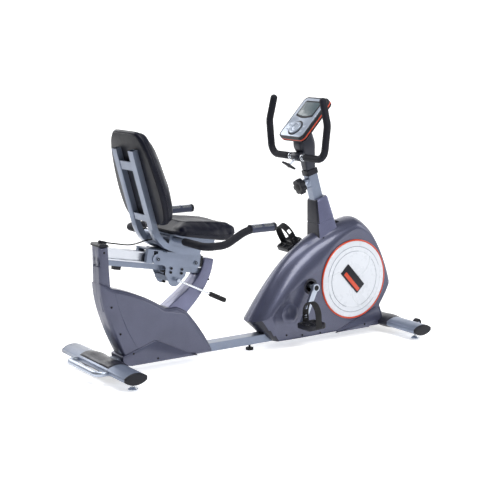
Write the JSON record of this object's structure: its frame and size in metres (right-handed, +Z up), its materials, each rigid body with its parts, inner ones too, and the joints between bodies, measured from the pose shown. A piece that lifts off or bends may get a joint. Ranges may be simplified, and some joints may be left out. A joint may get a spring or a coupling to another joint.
{
  "type": "recumbent exercise bike",
  "caption": "Recumbent exercise bike: reclined sliding seat on a rail, belt-driven magnetic flywheel under a rounded cover, pedals, side grips and a height-adjustable console.",
  "frame": {"origin": "on the floor, under the middle of the bounding box", "axes": "+X from the seat towards the console, +Y to the rider's left, +Z up"},
  "size_m": [1.719, 0.6958, 1.15],
  "materials": {
    "frame_paint": "metallic silver-blue powder coat",
    "shell_paint": "dark grey-purple metallic",
    "shroud_paint": "grey-purple metallic",
    "black_plastic": "fine grain",
    "rail_aluminium": "brushed and anodised",
    "chrome_steel": "polished",
    "zinc_steel": "zinc plated",
    "cast_iron": "machined rim",
    "rubber": "matt",
    "vinyl": "black upholstery vinyl",
    "foam": "closed-cell foam",
    "disc_white": "satin white",
    "ring_orange": "orange red",
    "nylon": "white nylon",
    "console_silver": "silver",
    "screen": "dark liquid crystal",
    "post_blue": "dark",
    "cable_black": "black sleeve"
  },
  "bodies": {
    "base": {"main_beam": "frame_paint", "rear_stabilizer": "frame_paint", "front_stabilizer": "frame_paint", "stabilizer_caps": "black_plastic", "lift_handle": "frame_paint", "joint_covers": "shell_paint", "seat_support": "frame_paint", "rear_cover_right": "shell_paint", "rear_cover_left": "shell_paint", "post_cap": "black_plastic", "seat_rail": "rail_aluminium", "rail_tube": "frame_paint", "rail_bumpers": "rubber", "front_frame": "frame_paint", "front_cover_right": "shell_paint", "front_cover_left": "shell_paint", "side_discs": "disc_white", "disc_rings": "ring_orange", "mast_shroud": "shroud_paint", "mast_tube": "frame_paint", "mast_bushing": "black_plastic", "axle_bearings": "zinc_steel", "drive_belt": "rubber", "cover_screws": "zinc_steel", "sensor_cable": "cable_black", "middle_foot": "rubber"},
    "foot_rr": {"foot_rear_right": "chrome_steel"},
    "foot_rl": {"foot_rear_left": "chrome_steel"},
    "foot_fr": {"foot_front_right": "chrome_steel"},
    "foot_fl": {"foot_front_left": "chrome_steel"},
    "wheels": {"transport_wheels": "black_plastic"},
    "carriage": {"seat_carriage": "frame_paint", "seat_frame": "frame_paint", "seat_cushion": "vinyl", "back_cushion": "vinyl", "side_bar": "frame_paint", "side_bar_foam": "foam", "pulse_grips": "black_plastic"},
    "roller_set_rear": {"rollers_rear": "nylon"},
    "roller_set_front": {"rollers_front": "nylon"},
    "lever": {"release_lever": "chrome_steel"},
    "shoe": {"brake_shoe": "rubber"},
    "crankset": {"crank_axle": "zinc_steel", "crank_arms": "zinc_steel", "drive_pulley": "black_plastic"},
    "pedal_r": {"pedal_right": "black_plastic"},
    "pedal_l": {"pedal_left": "black_plastic"},
    "flywheel_body": {"flywheel": "cast_iron"},
    "brake_bracket": {"magnet_bracket": "zinc_steel"},
    "console_post": {"inner_post": "post_blue", "console_boot": "black_plastic", "console_housing": "black_plastic", "console_bezel": "console_silver", "console_screen": "screen"},
    "handlebar_body": {"handlebar": "chrome_steel", "handlebar_foam": "foam"},
    "clamp_knob_body": {"clamp_knob": "black_plastic"},
    "post_knob_body": {"post_knob": "black_plastic"},
    "dial": {"console_dial": "console_silver"},
    "button": {"enter_button": "console_silver"}
  },
  "joints": [
    {"name": "foot_rear_right_turn", "type": "hinge", "parent": "base", "child": "foot_rr", "pos_m": [-0.7505, -0.257, 0.01], "axis": [0, 0, 1], "continuous": true},
    {"name": "foot_rear_left_turn", "type": "hinge", "parent": "base", "child": "foot_rl", "pos_m": [-0.7505, 0.257, 0.01], "axis": [0, 0, 1], "continuous": true},
    {"name": "foot_front_right_turn", "type": "hinge", "parent": "base", "child": "foot_fr", "pos_m": [0.7615, -0.274, 0.01], "axis": [0, 0, 1], "continuous": true},
    {"name": "foot_front_left_turn", "type": "hinge", "parent": "base", "child": "foot_fl", "pos_m": [0.7615, 0.274, 0.01], "axis": [0, 0, 1], "continuous": true},
    {"name": "wheel_spin", "type": "hinge", "parent": "base", "child": "wheels", "pos_m": [0.8375, 0, 0.052], "axis": [0, 1, 0], "continuous": true},
    {"name": "seat_slide", "type": "slide", "parent": "base", "child": "carriage", "axis": [0.9833, 0, -0.1822], "range_m": [-0.16, 0], "deforming": ["sensor_cable"]},
    {"name": "roller_rear_spin", "type": "hinge", "parent": "carriage", "child": "roller_set_rear", "pos_m": [-0.50878, 0, 0.48189], "axis": [0, 1, 0], "continuous": true},
    {"name": "roller_front_spin", "type": "hinge", "parent": "carriage", "child": "roller_set_front", "pos_m": [-0.32196, 0, 0.44727], "axis": [0, 1, 0], "continuous": true},
    {"name": "lever_pull", "type": "hinge", "parent": "carriage", "child": "lever", "pos_m": [-0.42119, 0, 0.38379], "axis": [0, -1, 0], "range_deg": [0, 18], "stiffness_Nm_per_rad": 3, "springref_deg": -17.19},
    {"name": "shoe_lift", "type": "slide", "parent": "carriage", "child": "shoe", "axis": [-0.1822, 0, -0.9833], "range_m": [0, 0.006]},
    {"name": "crank_spin", "type": "hinge", "parent": "base", "child": "crankset", "pos_m": [0.2875, 0, 0.2745], "axis": [0, 1, 0], "continuous": true},
    {"name": "pedal_right_spin", "type": "hinge", "parent": "crankset", "child": "pedal_r", "pos_m": [0.21754, -0.182, 0.11956], "axis": [0, 1, 0], "continuous": true},
    {"name": "pedal_left_spin", "type": "hinge", "parent": "crankset", "child": "pedal_l", "pos_m": [0.35746, 0.182, 0.42944], "axis": [0, 1, 0], "continuous": true},
    {"name": "flywheel_spin", "type": "hinge", "parent": "base", "child": "flywheel_body", "pos_m": [0.6315, 0, 0.262], "axis": [0, 1, 0], "continuous": true},
    {"name": "brake_bracket_swing", "type": "hinge", "parent": "base", "child": "brake_bracket", "pos_m": [0.60927, 0, 0.13595], "axis": [0, -1, 0], "range_deg": [0, 6]},
    {"name": "mast_height", "type": "slide", "parent": "base", "child": "console_post", "axis": [-0.2924, 0, 0.9563], "range_m": [0, 0.06]},
    {"name": "handlebar_tilt", "type": "hinge", "parent": "console_post", "child": "handlebar_body", "pos_m": [0.26328, 0, 0.87003], "axis": [0, 1, 0], "range_deg": [-20, 20]},
    {"name": "clamp_knob_turn", "type": "hinge", "parent": "console_post", "child": "clamp_knob_body", "pos_m": [0.26328, 0, 0.87003], "axis": [-0.788, 0, -0.6157], "range_deg": [0, 60]},
    {"name": "post_knob_pull", "type": "slide", "parent": "base", "child": "post_knob_body", "axis": [-0.9563, 0, -0.2924], "range_m": [0, 0.01], "stiffness_N_per_m": 1500, "springref_m": -0.004},
    {"name": "dial_turn", "type": "hinge", "parent": "console_post", "child": "dial", "pos_m": [0.24993, 0, 1.00392], "axis": [-0.7314, 0, 0.682], "continuous": true},
    {"name": "button_press", "type": "slide", "parent": "console_post", "child": "button", "axis": [0.7314, 0, -0.682], "range_m": [0, 0.0015], "stiffness_N_per_m": 600, "springref_m": -0.001}
  ],
  "couplings": [
    {"joint": "roller_rear_spin", "follows": "seat_slide", "rad_per_m": 58.824},
    {"joint": "roller_front_spin", "follows": "seat_slide", "rad_per_m": 58.824},
    {"joint": "shoe_lift", "follows": "lever_pull", "m_per_rad": 0.019099},
    {"joint": "flywheel_spin", "follows": "crank_spin", "ratio": 6}
  ]
}
